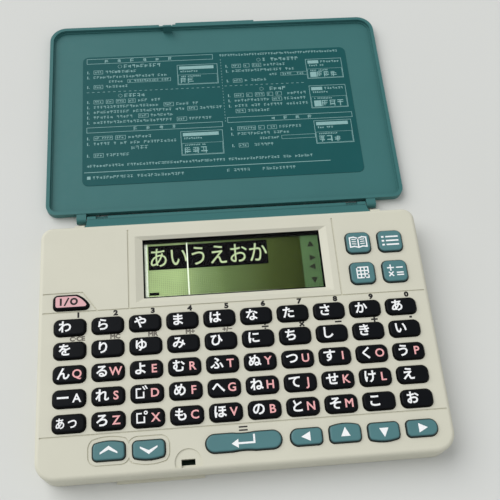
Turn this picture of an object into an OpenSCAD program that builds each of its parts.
// Pocket electronic dictionary: a thin keyboard case with a liquid-crystal window, and a flat
// lid that folds right round the case on a link bar with two hinge axes.
// Frame: origin at the centre of the case's underside, +X to the right of the keyboard,
// +Y towards the hinge, +Z up. The lid is drawn opened out, lying on the same table.

/* [Case] */
// Width of the case
case_w = 122; // [120:1:130]
// Depth of the case from front edge to rear edge
case_d = 80; // [79:0.5:88]
// Height of the case
case_h = 9.4; // [9.2:0.1:10.6]
// Radius of the two front corners, seen from above
front_corner_r = 6; // [4:0.5:8]
// Radius of the two rear corners, seen from above
rear_corner_r = 3.8; // [3:0.2:6]
// Rounding along the top edge
top_edge_r = 1.3; // [0.6:0.1:1.5]
// Rounding along the bottom edge
bottom_edge_r = 0.9; // [0.4:0.1:1.2]
// Thickness of the side walls
side_wall = 1.5; // [1.2:0.1:1.8]
// Thickness of the top wall round the keys
top_wall = 1.5; // [1.3:0.1:1.7]
// Thickness of the floor
floor_wall = 1.1; // [0.9:0.1:1.2]
// Depth of the moulded panel lines in the top face
groove_depth = 0.3; // [0.1:0.05:0.5]
// Width of the moulded panel lines
groove_w = 0.45; // [0.3:0.05:0.8]
// Depth of the zone behind the keyboard that holds the window
head_depth = 29.55; // [29:0.05:30]
// Thickness of the thumb ledge under the front edge
ledge_t = 0.8; // [0.5:0.1:1.2]
// How far the thumb ledge stands proud of the front wall
ledge_out = 0.7; // [0.3:0.1:1.2]

/* [Lid] */
// Overall thickness of the lid
lid_t = 2.8; // [2.6:0.1:3.4]
// Thickness of the lid's flat panel inside its rim
lid_panel_t = 1.3; // [1:0.1:1.5]
// Width of the lid's rim
lid_rim_w = 1.2; // [0.9:0.1:1.5]
// Rounding of the lid's outer edge
lid_edge_r = 0.9; // [0.4:0.1:1]
// Gap between the lid and the case when they lie face to face
lid_gap = 0.1; // [0.05:0.05:0.3]
// Width of the instruction label inside the lid
label_w = 98.2; // [80:0.2:104]
// Depth of the instruction label
label_d = 54.8; // [40:0.2:58]
// Distance of the label's centre from the lid's hinge edge
label_from_hinge = 38.7; // [34:0.1:42]
// Thickness of the label
label_t = 0.15; // [0.1:0.05:0.2]
// Width of the finger lip on the free edge
finger_lip_w = 31; // [20:1:40]
// How far the finger lip stands proud
finger_lip_out = 0.6; // [0.3:0.1:1]

/* [Hinge] */
// Distance of the case's hinge axis behind the rear wall
hinge_out = 1; // [0.9:0.1:1.3]
// Height of the lid's hinge axis above the lid's outer face
lid_axis_h = 1.3; // [1.3:0.05:1.4]
// Radius of the link bar's barrels, the lid's ears and the case's lugs
barrel_r = 1.3; // [1.1:0.05:1.3]
// Half width of the link bar
bar_half_w = 47.3; // [44:0.1:50]
// Thickness of the web between the two barrels
web_t = 1.4; // [1:0.1:1.5]
// Width of each ear and lug
ear_w = 3.2; // [2.5:0.1:4]
// Side gap between the link bar and an ear or lug
ear_gap = 0.3; // [0.2:0.05:0.5]
// Gap between the lid's hinge edge and the barrel
lid_edge_gap = 0.6; // [0.5:0.1:1]
// Diameter of the steel hinge pins
pin_d = 1; // [0.8:0.05:1.2]
// Radial running clearance of a pin in its ear or lug
pin_clearance = 0.05; // [0.03:0.01:0.1]
// How far a pin reaches into the link bar
pin_reach = 7.3; // [7:0.1:10]
// Distance of the pin notch from the bar's end
notch_from_end = 2.9; // [2:0.1:5]
// Length of the notch that shows the lid pin
notch_l = 4; // [2:0.1:4.2]

/* [Keys] */
// Distance of the outer columns of letter keys from the sides of the case
column_inset = 9.745; // [9.6:0.005:10]
// Gap between neighbouring letter keys in a row
letter_gap_x = 1.79; // [1.7:0.01:2.4]
// Gap between neighbouring rows of letter keys
letter_gap_y = 2.04; // [1.9:0.01:2.6]
// Length of the straight part of a letter key's round ends
letter_end_flat = 1.7; // [1.2:0.1:2.2]
// Distance of the first row of letters from the zone that holds the window
row1_from_border = 5.1; // [5:0.05:5.4]
// Distance between the last row of letters and the front row
front_row_from_letters = 8.85; // [8.7:0.05:9.2]
// Distance of the front row from the front edge of the case
front_row_from_edge = 7.14; // [6.9:0.01:7.3]
// Rounding of the top edge of the keys
key_edge_r = 0.65; // [0.3:0.05:0.75]
// How far the keys stand proud of the top face
key_proud = 0.9; // [0.6:0.05:1]
// Travel of a key when it is pressed
key_travel = 0.6; // [0.4:0.05:0.65]
// Clearance between a key and the edge of its hole
key_clearance = 0.22; // [0.15:0.01:0.3]
// Thickness of the flange that keeps a key in the case
flange_t = 0.6; // [0.4:0.05:0.7]
// How far the flange reaches past the key
flange_out = 0.5; // [0.4:0.05:0.55]
// Gap between the flange and the underside of the top wall
flange_gap = 0.15; // [0.1:0.05:0.3]
// Depth of a function key
function_key_d = 7.5; // [7:0.1:8]
// Gap between the window's border and the function keys
function_window_gap = 5.72; // [5.2:0.01:6.2]
// Distance of the function keys from the side of the case
function_side_margin = 5.68; // [5.2:0.01:6.4]
// Distance of the function keys from the rear edge of the case
function_rear_margin = 8.25; // [8:0.05:8.6]
// Gap between the two columns of function keys
function_gap_x = 2.5; // [1.8:0.05:3]
// Gap between the two rows of function keys
function_gap_y = 3.15; // [2.4:0.05:3.4]
// Depth of the page and arrow keys, without their bulges
front_key_d = 5; // [4.6:0.1:5.4]
// How far the bulging edge of a page, up or down key stands out
bulge_h = 0.6; // [0.3:0.05:0.8]
// Gap between neighbouring page and arrow keys in the front row
front_gap_x = 2.04; // [1.8:0.01:2.6]
// How much narrower the enter key is than two letter columns
enter_short = 0.68; // [0.4:0.01:3]
// Depth of the enter key
enter_key_d = 5.4; // [5:0.1:5.8]
// How far the enter key lies to the left of the middle
enter_shift = 1.15; // [0.6:0.05:1.6]
// Width of the power key
power_key_w = 10.9; // [9:0.1:11]
// Depth of the power key
power_key_d = 5; // [4.8:0.1:5.2]
// Distance of the power key from the side of the case
power_side_margin = 4.6; // [4.4:0.05:5.2]
// Distance of the power key's centre behind the keyboard's rear border
power_from_border = 3.1; // [3:0.05:3.3]

/* [Window] */
// Width of the window opening
window_w = 57.4; // [54:0.2:58]
// Depth of the window opening
window_d = 20.2; // [18:0.2:20.2]
// Distance of the window opening from the rear edge of the case
window_rear_margin = 6; // [5.6:0.1:6.6]
// Width of the sloped border round the opening
bezel_w = 2.4; // [1:0.1:2.6]
// Width of the sloped border in front of the opening
bezel_front_d = 1.5; // [0.8:0.1:1.6]
// Width of the sloped border behind the opening
bezel_rear_d = 1.1; // [0.8:0.1:1.6]
// Depth of the sloped border
bezel_drop = 0.8; // [0.4:0.05:0.9]
// Thickness of the clear window
window_t = 0.8; // [0.5:0.1:0.9]
// How far the clear window reaches under the border
window_lap = 1; // [0.6:0.1:1.2]
// Thickness of the liquid-crystal glass
glass_t = 1.4; // [1:0.1:1.5]

/* [Inside] */
// Thickness of the circuit board
board_t = 0.8; // [0.6:0.1:1]
// Height of the board's underside above the table
board_z = 4.2; // [4.1:0.05:4.3]
// Thickness of the rubber key mat
mat_t = 0.6; // [0.4:0.05:0.6]
// Height of the mat's pads under the keys
pad_h = 0.3; // [0.1:0.05:0.3]
// Diameter of a coin cell
cell_d = 20; // [16:0.5:20]
// Thickness of a coin cell
cell_t = 2.5; // [2:0.1:2.6]
// Distance between the centres of the two coin cells
cell_pitch = 21.4; // [20.6:0.1:22]
// Diameter of the heads of the case screws
screw_head_d = 2.8; // [2.4:0.1:3]
// Diameter of the shanks of the case screws
screw_d = 1.6; // [1.4:0.1:1.8]

/* [Hidden] */
$fn = 48;

// A small overshoot that keeps cuts clear of the faces they open
cut = 0.5;

// Colours
case_colour = "#cfcdbd";
lid_colour = "#44706f";
label_colour = "#2f6362";
key_colour = "#1d1f21";
teal_key_colour = "#487d86";
power_colour = "#d98f8b";
steel_colour = "#c9ccce";
board_colour = "#2f6b3c";
rubber_colour = "#8f938f";

// Hinge. The link bar's length and its case axis follow from the two flat positions:
// lid closed on the top face, and lid folded right round under the case.
rear_y = case_d / 2;
front_y = -case_d / 2;
link_l = (case_h + 2 * lid_gap + lid_t) / 2;
axis_a_y = rear_y + hinge_out;
axis_a_z = link_l - lid_gap - lid_axis_h;
axis_b_z = lid_axis_h;
axis_b_y = axis_a_y + sqrt(link_l * link_l - (axis_a_z - axis_b_z) * (axis_a_z - axis_b_z));
link_angle = atan2(axis_b_z - axis_a_z, axis_b_y - axis_a_y);
// When it is shut, the lid ends level with the front edge of the case
closed_near_y = axis_a_y - barrel_r - lid_edge_gap;
lid_d = closed_near_y - front_y;
lid_near_y = axis_b_y + barrel_r + lid_edge_gap;
lid_far_y = lid_near_y + lid_d;
lid_mid_y = (lid_near_y + lid_far_y) / 2;
barrel_channel_gap = 0.25;
ear_x = bar_half_w + ear_gap;
pin_end_inset = 0.4;
notch_behind_pin = 0.2;
notch_below_pin = 0.1;

// The two halves of the case part at the hinge axis
parting_z = axis_a_z;
under_top_z = case_h - top_wall;
inner_w = case_w - 2 * side_wall;
inner_d = case_d - 2 * side_wall;

// Keyboard. Rows and columns are counted from the rear left, starting at 0.
border_y = rear_y - head_depth;
letter_rows = 5;
letter_columns = 10;
keys_per_node = 2;
key_pitch_x = (case_w - 2 * column_inset) / (letter_columns - 1);
letter_key_w = key_pitch_x - letter_gap_x;
row1_y = border_y - row1_from_border;
front_row_y = front_y + front_row_from_edge;
row5_y = front_row_y + front_row_from_letters;
key_pitch_y = (row1_y - row5_y) / (letter_rows - 1);
letter_key_d = key_pitch_y - letter_gap_y;
letter_key_r = (letter_key_d - letter_end_flat) / 2;
front_groove_from_letters = 3.6;
front_groove_y = row5_y - front_groove_from_letters;
key_top_z = case_h + key_proud;
flange_top_z = under_top_z - flange_gap;
flange_bottom_z = flange_top_z - flange_t;
stem_gap = 0.1;
join_overlap = 0.05;
mat_top_z = board_z + board_t + mat_t;
pad_top_z = mat_top_z + pad_h;
stem_bottom_z = pad_top_z + key_travel + stem_gap;
stem_inset = 1.2;
edge_step = 0.6 * key_edge_r;
special_key_r = 1.4;
round_end_r = 2.3;
function_span = case_w / 2 - function_side_margin - window_w / 2 - bezel_w - function_window_gap;
function_key_w = (function_span - function_gap_x) / 2;
function_pitch_x = function_key_w + function_gap_x;
function_pitch_y = function_key_d + function_gap_y;
function_right_x = case_w / 2 - function_side_margin - function_key_w / 2;
function_rear_y = rear_y - function_rear_margin - function_key_d / 2;
function_key_r = 1.9;
power_x = -case_w / 2 + power_side_margin + power_key_w / 2;
power_y = border_y + power_from_border;
power_arc_r = 8;
power_arc_in_x = 7;
power_arc_in_y = 7.35;
front_key_w = key_pitch_x - front_gap_x;
enter_key_w = 2 * key_pitch_x - enter_short;
enter_x = -enter_shift;
enter_pad_x = 5;
enter_waist = 0.25;
enter_waist_r = 22;
bulge_r = 14;
bulge_corner_r = 2;

// Moulded lines on the top face
panel_gap = 2.2;
panel_above_power = 0.75;
panel_beside_power = -2;
panel_slope = 4.45;
panel_rear_gap = 1;
ring_gap = 1.1;
ring_line_w = 0.35;

// Window and display
window_y = rear_y - window_rear_margin - window_d / 2;
window_top_z = case_h - bezel_drop;
window_bottom_z = window_top_z - window_t;
window_clearance = 0.1;
board_top_z = board_z + board_t;
glass_lap_x = 0.3;
glass_lap_y = 0.4;
glass_w = window_w + 2 * glass_lap_x;
glass_d = window_d + 2 * glass_lap_y;
frame_wall = 1.6;
frame_w = glass_w + 2 * frame_wall;
frame_d = glass_d + 2 * frame_wall;
frame_lip_x = 0.4;
frame_lip_front = 0.6;
frame_lip_rear = 1;
frame_top_z = window_bottom_z;
frame_front_t = 0.7;
glass_top_z = frame_top_z - frame_front_t;
glass_bottom_z = glass_top_z - glass_t;
glass_clearance = 0.1;
connector_w = 1.8;
connector_inset = 2;

// Board and mat
board_clearance = 0.3;
board_w = inner_w - 2 * board_clearance;
board_d = inner_d - 2 * board_clearance;
board_corner_r = 2;
mat_margin = 0.6;
pad_r = 1.9;

// Case screws, near the four corners, and the posts that they enter
boss_r = 1.9;
boss_wall_gap = 0.2;
screw_rear_inset_x = 4.4;
screw_rear_inset_y = 4;
screw_rear = [case_w / 2 - screw_rear_inset_x, rear_y - screw_rear_inset_y];
screw_front = [case_w / 2 - side_wall - boss_r - boss_wall_gap, (row5_y + front_row_y) / 2];
case_screw_places = [
    screw_rear, [-screw_rear.x, screw_rear.y], screw_front, [-screw_front.x, screw_front.y]
];
screw_head_h = 0.9;
screw_head_clearance = 0.15;
screw_clearance = 0.1;
screw_thread_gap = 0.02;
screw_end_cover = 0.6;
screw_top_z = under_top_z - screw_end_cover;
screw_sink = 0.2;
hole_spare = 0.2;
slot_w = 0.5;
slot_depth = 0.25;

// Board screws
post_r = 1.4;
board_screw_inset = 3.2;
board_screw_x = case_w / 2 - board_screw_inset;
board_screw_from_border = 1.2;
board_screw_ys = [border_y + board_screw_from_border, (letter_y(2) + letter_y(3)) / 2];
board_screw_places = [
    for (y = board_screw_ys) for (side = [-1, 1]) [side * board_screw_x, y]
];
board_screw_d = 1.2;
board_screw_head_d = 2.3;
board_screw_head_h = 0.6;
board_screw_floor = 1.2;
board_screw_end_z = floor_wall + board_screw_floor;

// Coin cells lie in a bay over the battery door
bay_from_rear = 22;
bay_y = rear_y - bay_from_rear;
door_margin_x = 1.5;
door_margin_y = 1.6;
door_w = cell_d + cell_pitch + 2 * door_margin_x;
door_d = cell_d + 2 * door_margin_y;
door_gap = 0.2;
door_corner_r = 1.5;
cell_floor_gap = 0.1;
cell_z = floor_wall + cell_floor_gap;
cell_step_h = 0.3;
cell_step_w = 1.2;
bay_wall = 0.8;
bay_gap = 0.4;
bay_top_gap = 0.3;
bay_notch_spare = 0.5;
bay_notch_d = 4;
door_tab_w = 8;
door_tab_t = 0.7;
door_tab_out = 1.5;
door_tab_x = 13;
tongue_w = 7;
tongue_l = 4.6;
tongue_t = 0.8;
tongue_root = 1;
door_screw_from_door = 2.2;
door_screw_y = bay_y - door_d / 2 - door_screw_from_door;
door_screw_head_d = 2.6;
door_screw_head_h = 0.4;
door_screw_sink = 0.1;
door_screw_d = 1.4;
door_screw_board_gap = 1.1;
door_screw_end_z = board_z - door_screw_board_gap;
ridge_count = 5;
ridge_pitch = 0.9;
ridge_w = 12;
ridge_groove = 0.4;
ridge_depth = 0.25;
ridge_from_edge = 4;
contact_w = 5;
contact_t = 0.3;
contact_tab_gap = 0.2;
contact_bottom_z = floor_wall + door_tab_t + contact_tab_gap;
leaf_r = 4;
leaf_t = 0.2;
nub_r = 1;

// Parts on the underside of the board: place, then width, depth and height
chip_leg_l = 0.8;
chip_leg_w = 0.35;
chip_leg_t = 0.35;
chip_leg_pitch = 1;
chip_end = 0.75;
chip_gap = 0.1;
processor_w = 12;
processor_d = 14;
processor_h = 1.6;
memory_w = 9;
memory_d = 16;
memory_h = 1.5;
driver_w = 8;
driver_d = 11;
driver_h = 1.4;
crystal_d = 2;
crystal_l = 6;
capacitor_d = 4;
capacitor_h = 2.4;
small_part_w = 2;
small_part_d = 1.2;
small_part_h = 0.7;

// Latch: a hook on the lid drops into a slot near the front edge of the top face
latch_x = -17.4;
latch_slot_w = 4;
latch_slot_d = 2.4;
latch_slot_from_edge = 2.3;
latch_slot_y = front_y + latch_slot_from_edge;
latch_dish_r = 3.9;
latch_dish_depth = 0.35;
latch_dish_front = 1.3;
latch_dish_behind_slot = 0.3;
latch_dish_y = latch_slot_y + latch_dish_behind_slot;
catch_sink = 0.7;
catch_h = 0.7;
catch_top_z = case_h - catch_sink;
catch_bottom_z = catch_top_z - catch_h;
catch_out = 0.8;
catch_root = 0.3;
catch_nose = 0.15;
ledge_w = 25.7;
ledge_left = 21.2;
hook_w = 3.2;
hook_t = 0.7;
hook_gap = 0.2;
hook_nose = 0.25;
hook_nose_h = 0.5;
hook_below_catch = 0.2;
hook_root = 0.2;

// Details of the lid
lid_step_w = 0.5;
lid_step_h = 0.4;
finger_lip_t = 1.2;
finger_lip_root = 1;
lid_notch_w = 6.2;
lid_notch_d = 0.6;
lid_notch_h = 0.8;
label_r = 2.2;

// Places on the closed lid, brought back to the open lid: a height over the table and a
// distance in front of the hinge swap sides about the hinge.
closed_outer_z = case_h + lid_gap + lid_t;
function open_y(closed_y) = lid_near_y + closed_near_y - closed_y;
function open_z(closed_z) = closed_outer_z - closed_z;

// Key places
function letter_x(column) = (column - (letter_columns - 1) / 2) * key_pitch_x;
function letter_y(row) = row1_y - row * key_pitch_y;
function function_x(side) = function_right_x - (1 - side) * function_pitch_x;
function function_y(row) = function_rear_y - row * function_pitch_y;

// ---------------------------------------------------------------- outlines

// Rectangle on the origin with its own radius at the front and at the rear corners
module rounded_rect(w, d, front_r, rear_r) {
    union() {
        polygon([
            [-w / 2 + front_r, -d / 2], [w / 2 - front_r, -d / 2],
            [w / 2, -d / 2 + front_r], [w / 2, d / 2 - rear_r],
            [w / 2 - rear_r, d / 2], [-w / 2 + rear_r, d / 2],
            [-w / 2, d / 2 - rear_r], [-w / 2, -d / 2 + front_r]
        ]);
        for (side = [-1, 1]) {
            translate([side * (w / 2 - front_r), -d / 2 + front_r]) circle(front_r);
            translate([side * (w / 2 - rear_r), d / 2 - rear_r]) circle(rear_r);
        }
    }
}

// The same rectangle with other radii at its left and right ends
module end_rounded_rect(w, d, left_r, right_r) {
    rotate(-90) rounded_rect(d, w, left_r, right_r);
}

// Half section of an edge: a wall from the axis out to r, with its upper corner rounded
module edge_section(r, h, edge_r) {
    union() {
        square([r, h - edge_r]);
        square([r - edge_r, h]);
        translate([r - edge_r, h - edge_r]) intersection() {
            circle(edge_r);
            square(edge_r);
        }
    }
}

// Slab standing on z = 0 with its upper edge rounded all round
module slab(w, d, h, front_r, rear_r, edge_r) {
    side_r = max(front_r, rear_r);
    front_c = -d / 2 + front_r;
    rear_c = d / 2 - rear_r;
    union() {
        translate([-w / 2 + side_r, front_c, 0]) cube([w - 2 * side_r, rear_c - front_c, h]);
        for (side = [0, 1]) mirror([side, 0, 0]) {
            translate([w / 2 - side_r, rear_c, 0])
                rotate([90, 0, 0]) linear_extrude(rear_c - front_c) edge_section(side_r, h, edge_r);
            translate([w / 2 - front_r, front_c, 0])
                rotate(-90) rotate_extrude(angle = 90) edge_section(front_r, h, edge_r);
            translate([w / 2 - rear_r, rear_c, 0])
                rotate_extrude(angle = 90) edge_section(rear_r, h, edge_r);
        }
        translate([-w / 2 + front_r, front_c, 0])
            rotate([90, 0, 90]) mirror([1, 0, 0])
                linear_extrude(w - 2 * front_r) edge_section(front_r, h, edge_r);
        translate([-w / 2 + rear_r, rear_c, 0])
            rotate([90, 0, 90]) linear_extrude(w - 2 * rear_r) edge_section(rear_r, h, edge_r);
    }
}

// A round rod along X, from x0 to x1
module rod_x(x0, x1, r) {
    translate([x0, 0, 0]) rotate([0, 90, 0]) cylinder(h = x1 - x0, r = r);
}

// Outlines of the keys; grow adds the same width all round
module letter_outline(grow = 0) {
    rounded_rect(letter_key_w + 2 * grow, letter_key_d + 2 * grow,
        letter_key_r + grow, letter_key_r + grow);
}

module function_outline(grow = 0) {
    rounded_rect(function_key_w + 2 * grow, function_key_d + 2 * grow,
        function_key_r + grow, function_key_r + grow);
}

// The power key's rear right corner follows a large arc
module power_outline(grow = 0) {
    w = power_key_w / 2 + grow;
    d = power_key_d / 2 + grow;
    intersection() {
        rounded_rect(2 * w, 2 * d, special_key_r + grow, special_key_r + grow);
        union() {
            translate([power_key_w / 2 - power_arc_in_x, power_key_d / 2 - power_arc_in_y])
                circle(power_arc_r + grow, $fn = 180);
            translate([-w - cut, -d - cut]) square([w + cut, 2 * (d + cut)]);
        }
    }
}

// Front row key whose rear edge bulges; a key that bulges forwards is its mirror image
module bulged_outline(grow = 0) {
    w = front_key_w + 2 * grow;
    d = front_key_d + bulge_h + 2 * grow;
    intersection() {
        translate([0, bulge_h / 2])
            rounded_rect(w, d, special_key_r + grow, bulge_corner_r + grow);
        translate([0, front_key_d / 2 + bulge_h - bulge_r]) circle(bulge_r + grow, $fn = 180);
    }
}

module arrow_end_outline(grow = 0) {
    end_rounded_rect(front_key_w + 2 * grow, front_key_d + 2 * grow,
        round_end_r + grow, special_key_r + grow);
}

module enter_outline(grow = 0) {
    w = enter_key_w + 2 * grow;
    d = enter_key_d + 2 * grow;
    difference() {
        rounded_rect(w, d, d / 2 - 0.01, d / 2 - 0.01);
        for (side = [-1, 1])
            translate([0, side * (enter_key_d / 2 - enter_waist + enter_waist_r)])
                circle(enter_waist_r - grow, $fn = 180);
    }
}

// Every key outline in its place, for the holes, the panel lines and the mat
module all_key_outlines(grow) {
    for (row = [0:letter_rows - 1]) for (column = [0:letter_columns - 1])
        translate([letter_x(column), letter_y(row)]) letter_outline(grow);
    for (row = [0, 1]) for (side = [0, 1])
        translate([function_x(side), function_y(row)]) function_outline(grow);
    translate([power_x, power_y]) power_outline(grow);
    page_key_outlines(grow);
    translate([enter_x, front_row_y]) enter_outline(grow);
    translate([letter_x(6), front_row_y]) arrow_end_outline(grow);
    translate([letter_x(7), front_row_y]) bulged_outline(grow);
    translate([letter_x(8), front_row_y]) mirror([0, 1]) bulged_outline(grow);
    translate([letter_x(9), front_row_y]) mirror([1, 0]) arrow_end_outline(grow);
}

// ---------------------------------------------------------------- case

// Shallow channel in the rear wall that the link bar's barrel turns in
module barrel_channel() {
    translate([0, axis_a_y, axis_a_z]) rod_x(-ear_x, ear_x, barrel_r + barrel_channel_gap);
}

module line_x(x0, x1, y) {
    translate([x0, y - groove_w / 2, case_h - groove_depth])
        cube([x1 - x0, groove_w, groove_depth + cut]);
}

module line_y(x, y0, y1) {
    translate([x - groove_w / 2, y0, case_h - groove_depth])
        cube([groove_w, y1 - y0, groove_depth + cut]);
}

// Moulded lines that divide the top face into panels
module panel_lines() {
    left = -case_w / 2 + top_edge_r;
    right = case_w / 2 - top_edge_r;
    display_x = window_w / 2 + bezel_w + panel_gap;
    panel_top = power_y + power_key_d / 2 + panel_above_power;
    panel_right = power_x + power_key_w / 2 + panel_beside_power;
    slope = panel_slope;
    panel_rear = rear_y - top_edge_r - panel_rear_gap;
    line_x(left, right, border_y);
    line_x(left, right, front_groove_y);
    line_x(left, panel_right, panel_top);
    line_y(-display_x, border_y, panel_rear);
    line_y(display_x, border_y, panel_rear);
    translate([0, 0, case_h - groove_depth]) linear_extrude(groove_depth + cut) polygon([
        [panel_right, panel_top - groove_w / 2], [panel_right, panel_top + groove_w / 2],
        [panel_right + slope + groove_w / 2, border_y], [panel_right + slope, border_y - groove_w / 2],
        [panel_right + slope - groove_w / 2, border_y]
    ]);
}

module page_key_outlines(grow) {
    translate([letter_x(1), front_row_y]) bulged_outline(grow);
    translate([letter_x(2), front_row_y]) mirror([0, 1]) bulged_outline(grow);
}

// Moulded line that follows the two page keys' outlines
module page_ring() {
    translate([0, 0, case_h - groove_depth]) linear_extrude(groove_depth + cut) difference() {
        page_key_outlines(ring_gap + ring_line_w);
        page_key_outlines(ring_gap);
    }
}

module bezel_cut() {
    outer_w = window_w + 2 * bezel_w;
    outer_d = bezel_front_d + window_d + bezel_rear_d;
    skin = 0.01;
    hull() {
        translate([-outer_w / 2, window_y - window_d / 2 - bezel_front_d, case_h])
            cube([outer_w, outer_d, cut]);
        translate([-window_w / 2, window_y - window_d / 2, window_top_z])
            cube([window_w, window_d, skin]);
    }
}

module window_cut() {
    seat_w = window_w + 2 * (window_lap + window_clearance);
    seat_d = window_d + 2 * (window_lap + window_clearance);
    translate([-window_w / 2, window_y - window_d / 2, under_top_z - cut])
        cube([window_w, window_d, top_wall + 2 * cut]);
    translate([-seat_w / 2, window_y - seat_d / 2, under_top_z - cut])
        cube([seat_w, seat_d, window_top_z - under_top_z + cut]);
}

module latch_cut() {
    translate([latch_x, latch_dish_y, case_h - latch_dish_depth]) intersection() {
        cylinder(h = latch_dish_depth + cut, r = latch_dish_r);
        translate([-latch_dish_r, -latch_dish_front, 0])
            cube([2 * latch_dish_r, 2 * latch_dish_r, latch_dish_depth + cut]);
    }
    translate([latch_x - latch_slot_w / 2, latch_slot_y - latch_slot_d / 2, under_top_z - cut])
        cube([latch_slot_w, latch_slot_d, top_wall + 2 * cut]);
}

// Slanted catch on the front wall, inside the latch slot
module catch() {
    wall_y = latch_slot_y - latch_slot_d / 2;
    translate([latch_x - latch_slot_w / 2, wall_y, 0]) rotate([90, 0, 90])
        linear_extrude(latch_slot_w) polygon([
            [-catch_root, catch_bottom_z], [catch_out, catch_bottom_z],
            [catch_out, catch_bottom_z + catch_nose], [catch_nose, catch_top_z],
            [-catch_root, catch_top_z]
        ]);
}

module top_case() {
    color(case_colour) difference() {
        union() {
            difference() {
                translate([0, 0, parting_z])
                    slab(case_w, case_d, case_h - parting_z,
                        front_corner_r, rear_corner_r, top_edge_r);
                translate([0, 0, parting_z - cut]) linear_extrude(under_top_z - parting_z + cut)
                    rounded_rect(inner_w, inner_d, front_corner_r - side_wall,
                        rear_corner_r - side_wall);
                latch_cut();
            }
            for (place = case_screw_places)
                translate([place.x, place.y, parting_z])
                    cylinder(h = under_top_z - parting_z, r = boss_r);
            catch();
        }
        for (place = case_screw_places)
            translate([place.x, place.y, parting_z - cut])
                cylinder(h = screw_top_z - parting_z + hole_spare + cut,
                    d = screw_d + 2 * screw_thread_gap);
        translate([0, 0, under_top_z - cut]) linear_extrude(top_wall + 2 * cut)
            all_key_outlines(key_clearance);
        bezel_cut();
        window_cut();
        panel_lines();
        page_ring();
        barrel_channel();
    }
}

// Ring of wall round the coin cells
module bay_walls() {
    w = door_w + 2 * bay_gap;
    d = door_d + 2 * bay_gap;
    translate([0, bay_y, floor_wall]) linear_extrude(board_z - floor_wall - bay_top_gap) difference() {
        rounded_rect(w + 2 * bay_wall, d + 2 * bay_wall, door_corner_r, door_corner_r);
        rounded_rect(w, d, door_corner_r, door_corner_r);
        for (side = [-1, 1]) translate([side * door_tab_x, d / 2])
            square([door_tab_w + 2 * bay_notch_spare, bay_notch_d], center = true);
        translate([0, -d / 2])
            square([tongue_w + 2 * bay_notch_spare, bay_notch_d], center = true);
    }
}

// A lug behind the case that carries one end of the link bar
module hinge_lug() {
    translate([ear_x, 0, 0]) intersection() {
        union() {
            translate([0, axis_a_y, axis_a_z]) rod_x(0, ear_w, barrel_r);
            translate([0, rear_y, axis_a_z - barrel_r])
                cube([ear_w, axis_a_y - rear_y, 2 * barrel_r]);
        }
        translate([-cut, rear_y, 0]) cube([ear_w + 2 * cut, 2 * barrel_r + hinge_out, case_h]);
    }
}

module hinge_lug_foot() {
    translate([ear_x, rear_y - side_wall, axis_a_z - barrel_r])
        cube([ear_w, side_wall, barrel_r]);
}

module bottom_case() {
    color(case_colour) difference() {
        union() {
            difference() {
                translate([0, 0, parting_z]) mirror([0, 0, 1])
                    slab(case_w, case_d, parting_z, front_corner_r, rear_corner_r, bottom_edge_r);
                translate([0, 0, floor_wall]) linear_extrude(parting_z)
                    rounded_rect(inner_w, inner_d, front_corner_r - side_wall,
                        rear_corner_r - side_wall);
                barrel_channel();
            }
            for (place = case_screw_places)
                translate([place.x, place.y, floor_wall / 2])
                    cylinder(h = parting_z - floor_wall / 2, r = boss_r);
            for (place = board_screw_places)
                translate([place.x, place.y, floor_wall / 2])
                    cylinder(h = board_z - floor_wall / 2, r = post_r);
            bay_walls();
            translate([0, door_screw_y, floor_wall / 2])
                cylinder(h = board_z - bay_top_gap - floor_wall / 2, r = boss_r);
            for (side = [0, 1]) mirror([side, 0, 0]) {
                hinge_lug();
                hinge_lug_foot();
            }
            translate([latch_x - ledge_left, front_y - ledge_out, 0])
                cube([ledge_w, ledge_out + side_wall, ledge_t]);
        }
        for (place = case_screw_places) translate([place.x, place.y, -cut]) {
            cylinder(h = parting_z + 2 * cut, d = screw_d + 2 * screw_clearance);
            cylinder(h = screw_sink + screw_head_h + cut,
                d = screw_head_d + 2 * screw_head_clearance);
        }
        for (place = board_screw_places)
            translate([place.x, place.y, board_screw_end_z - hole_spare])
            cylinder(h = board_z, d = board_screw_d + 2 * screw_thread_gap);
        translate([0, bay_y, -cut]) linear_extrude(floor_wall + 2 * cut)
            rounded_rect(door_w + 2 * door_gap, door_d + 2 * door_gap, door_corner_r, door_corner_r);
        translate([-tongue_w / 2 - door_gap, bay_y - door_d / 2 - tongue_l - door_gap, -cut])
            cube([tongue_w + 2 * door_gap, tongue_l + tongue_root, tongue_t + cut]);
        translate([0, door_screw_y, -cut])
            cylinder(h = door_screw_end_z + hole_spare + cut, d = door_screw_d + 2 * screw_thread_gap);
        for (side = [0, 1]) mirror([side, 0, 0])
            translate([0, axis_a_y, axis_a_z])
                rod_x(ear_x - cut, ear_x + ear_w + cut, pin_d / 2 + pin_clearance);
    }
}

module battery_door() {
    tab_y = bay_y + cell_d / 2 + bay_gap;
    color(case_colour) difference() {
        union() {
            translate([0, bay_y, 0]) linear_extrude(floor_wall)
                rounded_rect(door_w, door_d, door_corner_r, door_corner_r);
            for (side = [-1, 1])
                translate([side * door_tab_x - door_tab_w / 2, tab_y, floor_wall])
                    cube([door_tab_w, bay_y + door_d / 2 + door_tab_out - tab_y, door_tab_t]);
            translate([-tongue_w / 2, bay_y - door_d / 2 - tongue_l, 0])
                cube([tongue_w, tongue_l + tongue_root, tongue_t]);
        }
        translate([0, door_screw_y, -cut]) {
            cylinder(h = tongue_t + 2 * cut, d = door_screw_d + 2 * screw_clearance);
            cylinder(h = door_screw_sink + door_screw_head_h + cut,
                d = door_screw_head_d + 2 * screw_head_clearance);
        }
        for (ridge = [0:ridge_count - 1])
            translate([-ridge_w / 2, bay_y + door_d / 2 - ridge_from_edge
                + (ridge - (ridge_count - 1) / 2) * ridge_pitch, -cut])
                cube([ridge_w, ridge_groove, cut + ridge_depth]);
    }
}

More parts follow.
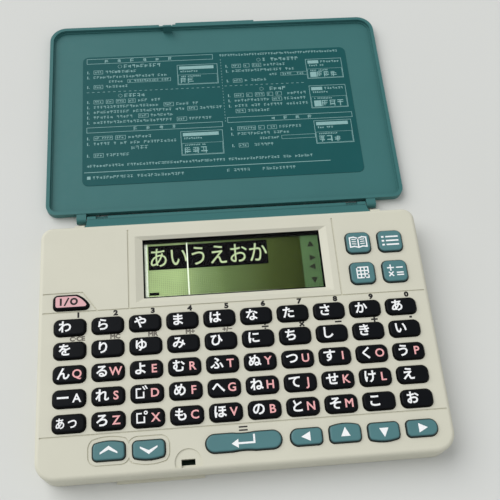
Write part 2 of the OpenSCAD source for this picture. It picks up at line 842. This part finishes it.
// A screw standing on its head, with a straight driver slot
module screw(head_d, head_h, shank_d, total_h) {
    difference() {
        union() {
            cylinder(h = head_h, d = head_d);
            cylinder(h = total_h, d = shank_d);
        }
        translate([-head_d, -slot_w / 2, -cut]) cube([2 * head_d, slot_w, slot_depth + cut]);
    }
}

module battery_door_screw() {
    color(steel_colour) translate([0, door_screw_y, door_screw_sink])
        screw(door_screw_head_d, door_screw_head_h, door_screw_d,
            door_screw_end_z - door_screw_sink);
}

module case_screws() {
    color(steel_colour) for (place = case_screw_places)
        translate([place.x, place.y, screw_sink])
            screw(screw_head_d, screw_head_h, screw_d, screw_top_z - screw_sink);
}

// ---------------------------------------------------------------- lid and hinge

// An ear on the lid's hinge edge
module lid_ear() {
    translate([ear_x, axis_b_y, axis_b_z]) {
        rod_x(0, ear_w, barrel_r);
        translate([0, 0, -barrel_r]) cube([ear_w, lid_near_y - axis_b_y + lid_rim_w, 2 * barrel_r]);
    }
}

// Hook that drops into the latch slot of the case when the lid is shut
module latch_hook() {
    wall_y = latch_slot_y - latch_slot_d / 2;
    blade_closed_y = wall_y + catch_out + hook_gap;
    tip_closed_z = catch_bottom_z - hook_below_catch - hook_nose_h;
    blade_y = open_y(blade_closed_y + hook_t);
    tip_z = open_z(tip_closed_z);
    translate([latch_x - hook_w / 2, 0, 0]) rotate([90, 0, 90]) linear_extrude(hook_w) polygon([
        [blade_y, lid_panel_t - hook_root], [blade_y + hook_t, lid_panel_t - hook_root],
        [blade_y + hook_t, tip_z - hook_nose_h], [blade_y + hook_t + hook_nose, tip_z - hook_nose_h],
        [blade_y + hook_t, tip_z], [blade_y, tip_z]
    ]);
}

module lid() {
    rim_inner_w = case_w - 2 * lid_rim_w;
    rim_inner_d = lid_d - 2 * lid_rim_w;
    color(lid_colour) difference() {
        union() {
            difference() {
                translate([0, lid_mid_y, lid_t]) mirror([0, 0, 1])
                    slab(case_w, lid_d, lid_t, rear_corner_r, front_corner_r, lid_edge_r);
                translate([0, lid_mid_y, lid_panel_t]) linear_extrude(lid_t)
                    rounded_rect(rim_inner_w - 2 * lid_step_w, rim_inner_d - 2 * lid_step_w,
                        rear_corner_r - lid_rim_w - lid_step_w, front_corner_r - lid_rim_w - lid_step_w);
                translate([0, lid_mid_y, lid_panel_t + lid_step_h]) linear_extrude(lid_t)
                    rounded_rect(rim_inner_w, rim_inner_d,
                        rear_corner_r - lid_rim_w, front_corner_r - lid_rim_w);
            }
            for (side = [0, 1]) mirror([side, 0, 0]) lid_ear();
            translate([-finger_lip_w / 2, lid_far_y - finger_lip_root, lid_t - finger_lip_t])
                cube([finger_lip_w, finger_lip_root + finger_lip_out, finger_lip_t]);
            latch_hook();
        }
        translate([latch_x - lid_notch_w / 2, lid_far_y - lid_notch_d, lid_t - lid_notch_h])
            cube([lid_notch_w, lid_notch_d + finger_lip_out + cut, lid_notch_h + cut]);
        for (side = [0, 1]) mirror([side, 0, 0])
            translate([0, axis_b_y, axis_b_z])
                rod_x(ear_x - cut, ear_x + ear_w + cut, pin_d / 2 + pin_clearance);
    }
}

module lid_label() {
    color(label_colour) translate([0, lid_near_y + label_from_hinge, lid_panel_t])
        linear_extrude(label_t) rounded_rect(label_w, label_d, label_r, label_r);
}

// Link bar: a barrel on each hinge axis and a flat web between them
module hinge_bar() {
    color(lid_colour) difference() {
        union() {
            translate([0, axis_a_y, axis_a_z]) rod_x(-bar_half_w, bar_half_w, barrel_r);
            translate([0, axis_b_y, axis_b_z]) rod_x(-bar_half_w, bar_half_w, barrel_r);
            translate([-bar_half_w, axis_a_y, axis_a_z]) rotate([link_angle, 0, 0])
                translate([0, 0, -web_t / 2]) cube([2 * bar_half_w, link_l, web_t]);
        }
        for (side = [0, 1]) mirror([side, 0, 0]) {
            for (axis = [[axis_a_y, axis_a_z], [axis_b_y, axis_b_z]])
                translate([0, axis[0], axis[1]])
                    rod_x(bar_half_w - pin_reach, bar_half_w + cut, pin_d / 2);
            translate([bar_half_w - notch_from_end - notch_l, axis_b_y - notch_behind_pin,
                axis_b_z - notch_below_pin])
                cube([notch_l, 2 * barrel_r, 2 * barrel_r]);
        }
    }
}

module hinge_pins(y, z) {
    color(steel_colour) for (side = [0, 1]) mirror([side, 0, 0])
        translate([0, y, z])
            rod_x(bar_half_w - pin_reach, ear_x + ear_w - pin_end_inset, pin_d / 2);
}

module lid_hinge_pins() {
    hinge_pins(axis_b_y, axis_b_z);
}

module base_hinge_pins() {
    hinge_pins(axis_a_y, axis_a_z);
}

// ---------------------------------------------------------------- display

module screen_window() {
    w = window_w + 2 * window_lap;
    d = window_d + 2 * window_lap;
    color("#cfd8d2", 0.35) translate([-w / 2, window_y - d / 2, window_bottom_z])
        cube([w, d, window_t]);
}

module lcd_frame() {
    opening_w = window_w - 2 * frame_lip_x;
    opening_d = window_d - frame_lip_front - frame_lip_rear;
    color("#151718") translate([0, window_y, 0]) difference() {
        translate([-frame_w / 2, -frame_d / 2, board_top_z])
            cube([frame_w, frame_d, frame_top_z - board_top_z]);
        translate([-glass_w / 2 - glass_clearance, -glass_d / 2 - glass_clearance, board_top_z - cut])
            cube([glass_w + 2 * glass_clearance, glass_d + 2 * glass_clearance,
                glass_top_z - board_top_z + cut]);
        translate([-opening_w / 2, -window_d / 2 + frame_lip_front, board_top_z])
            cube([opening_w, opening_d, case_h]);
    }
}

module lcd_glass() {
    color("#8f9a63") translate([-glass_w / 2, window_y - glass_d / 2, glass_bottom_z])
        cube([glass_w, glass_d, glass_t]);
}

module lcd_connectors() {
    length = glass_w - 2 * connector_inset;
    color("#5a4a4e") for (side = [-1, 1])
        translate([-length / 2, window_y + side * (glass_d / 2 - connector_w) - connector_w / 2,
            board_top_z])
            cube([length, connector_w, glass_bottom_z - board_top_z]);
}

// ---------------------------------------------------------------- electronics

// Notch in the edge of the board where a case screw's boss passes it
module board_notch(place) {
    r = boss_r + board_clearance;
    translate([place.x > 0 ? place.x : place.x - case_w, place.y - r]) square([case_w, 2 * r]);
    if (place.y > 0)
        translate([place.x > 0 ? place.x - r : place.x + r - case_w, place.y - r])
            square([case_w, case_d]);
    translate([place.x, place.y]) circle(r);
}

module main_board() {
    color(board_colour) translate([0, 0, board_z]) linear_extrude(board_t) difference() {
        rounded_rect(board_w, board_d, front_corner_r - side_wall, board_corner_r);
        for (place = case_screw_places) board_notch(place);
        for (place = board_screw_places)
            translate([place.x, place.y]) circle(d = board_screw_d + 2 * screw_clearance);
    }
}

module board_screws() {
    color(steel_colour) for (place = board_screw_places)
        translate([place.x, place.y, board_top_z + board_screw_head_h]) mirror([0, 0, 1])
            screw(board_screw_head_d, board_screw_head_h, board_screw_d,
                board_top_z + board_screw_head_h - board_screw_end_z);
}

// A chip under the board, its place counted in letter columns and rows, as all parts there are
module chip(column, row, w, d, h) {
    legs = floor((d - 2 * chip_end) / chip_leg_pitch);
    translate([letter_x(column), letter_y(row), board_z - h]) {
        translate([-w / 2, -d / 2, 0]) cube([w, d, h - chip_gap]);
        for (side = [-1, 1]) for (leg = [0:legs])
            translate([side * (w / 2 + chip_leg_l / 2) - chip_leg_l / 2,
                (leg - legs / 2) * chip_leg_pitch - chip_leg_w / 2, h - chip_leg_t])
                cube([chip_leg_l, chip_leg_w, chip_leg_t]);
    }
}

module board_chips() {
    color("#202224") {
        chip(1.5, 2.6, processor_w, processor_d, processor_h);
        chip(3.8, 3.2, memory_w, memory_d, memory_h);
        chip(6.4, 2.9, driver_w, driver_d, driver_h);
    }
}

module board_components() {
    color("#b98f4a") {
        translate([letter_x(7.8), letter_y(2.1), board_z - crystal_d / 2])
            rod_x(0, crystal_l, crystal_d / 2);
        for (column = [0.5, 7.5])
            translate([letter_x(column), letter_y(0), board_z - capacitor_h])
                cylinder(h = capacitor_h, d = capacitor_d);
        for (place = [[2.7, 1.5], [3.3, 1.5], [5.2, 1.8], [5.5, 4.3], [7.3, 4], [8.4, 3.4]])
            translate([letter_x(place.x), letter_y(place.y), board_z - small_part_h])
                cube([small_part_w, small_part_d, small_part_h]);
    }
}

module coin_cells() {
    color(steel_colour) for (side = [-1, 1]) translate([side * cell_pitch / 2, bay_y, cell_z]) {
        cylinder(h = cell_t - cell_step_h, d = cell_d);
        cylinder(h = cell_t, d = cell_d - 2 * cell_step_w);
    }
}

module battery_contacts_positive() {
    color("#d8c98e") for (side = [-1, 1])
        translate([side * cell_pitch / 2 - contact_w / 2, bay_y + cell_d / 2, contact_bottom_z])
            cube([contact_w, contact_t, board_z - contact_bottom_z]);
}

module battery_contacts_negative() {
    color("#d8c98e") for (side = [-1, 1]) translate([side * cell_pitch / 2, bay_y, 0]) {
        translate([0, 0, board_z - leaf_t]) cylinder(h = leaf_t, r = leaf_r);
        translate([0, 0, cell_z + cell_t])
            cylinder(h = board_z - cell_z - cell_t, r = nub_r);
    }
}

module key_mat() {
    keys_left = letter_x(0) - letter_key_w / 2 - mat_margin;
    keys_right = letter_x(letter_columns - 1) + letter_key_w / 2 + mat_margin;
    keys_rear = letter_y(0) + letter_key_d / 2 + mat_margin;
    keys_front = front_row_y - enter_key_d / 2 - mat_margin;
    function_left = function_x(0) - function_key_w / 2 - mat_margin;
    function_rear = function_y(0) + function_key_d / 2 + mat_margin;
    power_right = power_x + power_key_w / 2 + mat_margin;
    power_rear = power_y + power_key_d / 2 + mat_margin;
    color(rubber_colour) difference() {
        union() {
            translate([0, 0, board_top_z]) linear_extrude(mat_t) polygon([
                [keys_left, keys_front], [keys_right, keys_front], [keys_right, function_rear],
                [function_left, function_rear], [function_left, keys_rear],
                [power_right, keys_rear], [power_right, power_rear], [keys_left, power_rear]
            ]);
            translate([0, 0, mat_top_z]) linear_extrude(pad_h) {
                for (row = [0:letter_rows - 1]) for (column = [0:letter_columns - 1])
                    translate([letter_x(column), letter_y(row)]) circle(pad_r);
                for (row = [0, 1]) for (side = [0, 1])
                    translate([function_x(side), function_y(row)]) circle(pad_r);
                for (x = [letter_x(1), letter_x(2), enter_x - enter_pad_x, enter_x + enter_pad_x,
                    letter_x(6), letter_x(7), letter_x(8), letter_x(9)])
                    translate([x, front_row_y]) circle(pad_r);
                translate([power_x, power_y]) circle(pad_r);
            }
        }
        for (place = concat(case_screw_places, board_screw_places))
            translate([place.x, place.y, board_top_z - cut])
                cylinder(h = mat_t + pad_h + 2 * cut, r = boss_r + board_clearance);
    }
}

// ---------------------------------------------------------------- keys

// What lies under the top wall: the flange that stops the key, and the stem that meets the mat
module key_foot(outline_w, outline_d, outline_r) {
    flange_w = outline_w + 2 * flange_out;
    flange_d = outline_d + 2 * flange_out;
    flange_r = outline_r + flange_out;
    translate([0, 0, flange_bottom_z]) linear_extrude(flange_t)
        rounded_rect(flange_w, flange_d, flange_r, flange_r);
    translate([-outline_w / 2 + stem_inset, -outline_d / 2 + stem_inset, stem_bottom_z])
        cube([outline_w - 2 * stem_inset, outline_d - 2 * stem_inset,
            flange_bottom_z - stem_bottom_z + join_overlap]);
}

// Key top of the given size, its upper edge rounded
module round_key(w, d, r) {
    translate([0, 0, flange_top_z - join_overlap])
        slab(w, d, key_top_z - flange_top_z + join_overlap, r, r, key_edge_r);
    key_foot(w, d, r);
}

module letter_pair(row, pair) {
    color(key_colour) for (i = [0:keys_per_node - 1])
        translate([letter_x(pair * keys_per_node + i), letter_y(row), 0])
            round_key(letter_key_w, letter_key_d, letter_key_r);
}

module function_key(row, side) {
    color(teal_key_colour) translate([function_x(side), function_y(row), 0])
        round_key(function_key_w, function_key_d, function_key_r);
}

// Key tops that aren't plain rounded rectangles: full outline, then a slightly smaller
// outline on top of it, which stands for the rounded edge
module stepped_top() {
    translate([0, 0, flange_top_z - join_overlap]) {
        linear_extrude(key_top_z - flange_top_z + join_overlap - edge_step) children(0);
        linear_extrude(key_top_z - flange_top_z + join_overlap) children(1);
    }
}

module power_key() {
    color(power_colour) translate([power_x, power_y, 0]) {
        stepped_top() {
            power_outline(0);
            power_outline(-edge_step);
        }
        key_foot(power_key_w, power_key_d, special_key_r);
    }
}

module bulged_key(column, forward) {
    color(teal_key_colour) translate([letter_x(column), front_row_y, 0])
        mirror([0, forward ? 1 : 0, 0]) {
            stepped_top() {
                bulged_outline(0);
                bulged_outline(-edge_step);
            }
            translate([0, bulge_h / 2, 0])
                key_foot(front_key_w, front_key_d + bulge_h, special_key_r);
        }
}

module arrow_end_key(column, right) {
    color(teal_key_colour) translate([letter_x(column), front_row_y, 0])
        mirror([right ? 1 : 0, 0, 0]) {
            stepped_top() {
                arrow_end_outline(0);
                arrow_end_outline(-edge_step);
            }
            key_foot(front_key_w, front_key_d, special_key_r);
        }
}

module enter_key() {
    color(teal_key_colour) translate([enter_x, front_row_y, 0]) {
        stepped_top() {
            enter_outline(0);
            enter_outline(-edge_step);
        }
        key_foot(enter_key_w, enter_key_d, special_key_r);
    }
}

module function_key_rear_left() function_key(0, 0);
module function_key_rear_right() function_key(0, 1);
module function_key_front_left() function_key(1, 0);
module function_key_front_right() function_key(1, 1);
module page_up_key() bulged_key(1, false);
module page_down_key() bulged_key(2, true);
module arrow_left_key() arrow_end_key(6, false);
module arrow_up_key() bulged_key(7, false);
module arrow_down_key() bulged_key(8, true);
module arrow_right_key() arrow_end_key(9, true);

bottom_case();
top_case();
battery_door();
battery_door_screw();
case_screws();
lid();
lid_label();
hinge_bar();
lid_hinge_pins();
base_hinge_pins();
screen_window();
lcd_frame();
lcd_glass();
lcd_connectors();
main_board();
board_screws();
board_chips();
board_components();
coin_cells();
battery_contacts_positive();
battery_contacts_negative();
key_mat();
power_key();
function_key_rear_left();
function_key_rear_right();
function_key_front_left();
function_key_front_right();
page_up_key();
page_down_key();
enter_key();
arrow_left_key();
arrow_up_key();
arrow_down_key();
arrow_right_key();
letter_pair(0, 0);  // letter_keys_1a
letter_pair(0, 1);  // letter_keys_1b
letter_pair(0, 2);  // letter_keys_1c
letter_pair(0, 3);  // letter_keys_1d
letter_pair(0, 4);  // letter_keys_1e
letter_pair(1, 0);  // letter_keys_2a
letter_pair(1, 1);  // letter_keys_2b
letter_pair(1, 2);  // letter_keys_2c
letter_pair(1, 3);  // letter_keys_2d
letter_pair(1, 4);  // letter_keys_2e
letter_pair(2, 0);  // letter_keys_3a
letter_pair(2, 1);  // letter_keys_3b
letter_pair(2, 2);  // letter_keys_3c
letter_pair(2, 3);  // letter_keys_3d
letter_pair(2, 4);  // letter_keys_3e
letter_pair(3, 0);  // letter_keys_4a
letter_pair(3, 1);  // letter_keys_4b
letter_pair(3, 2);  // letter_keys_4c
letter_pair(3, 3);  // letter_keys_4d
letter_pair(3, 4);  // letter_keys_4e
letter_pair(4, 0);  // letter_keys_5a
letter_pair(4, 1);  // letter_keys_5b
letter_pair(4, 2);  // letter_keys_5c
letter_pair(4, 3);  // letter_keys_5d
letter_pair(4, 4);  // letter_keys_5e
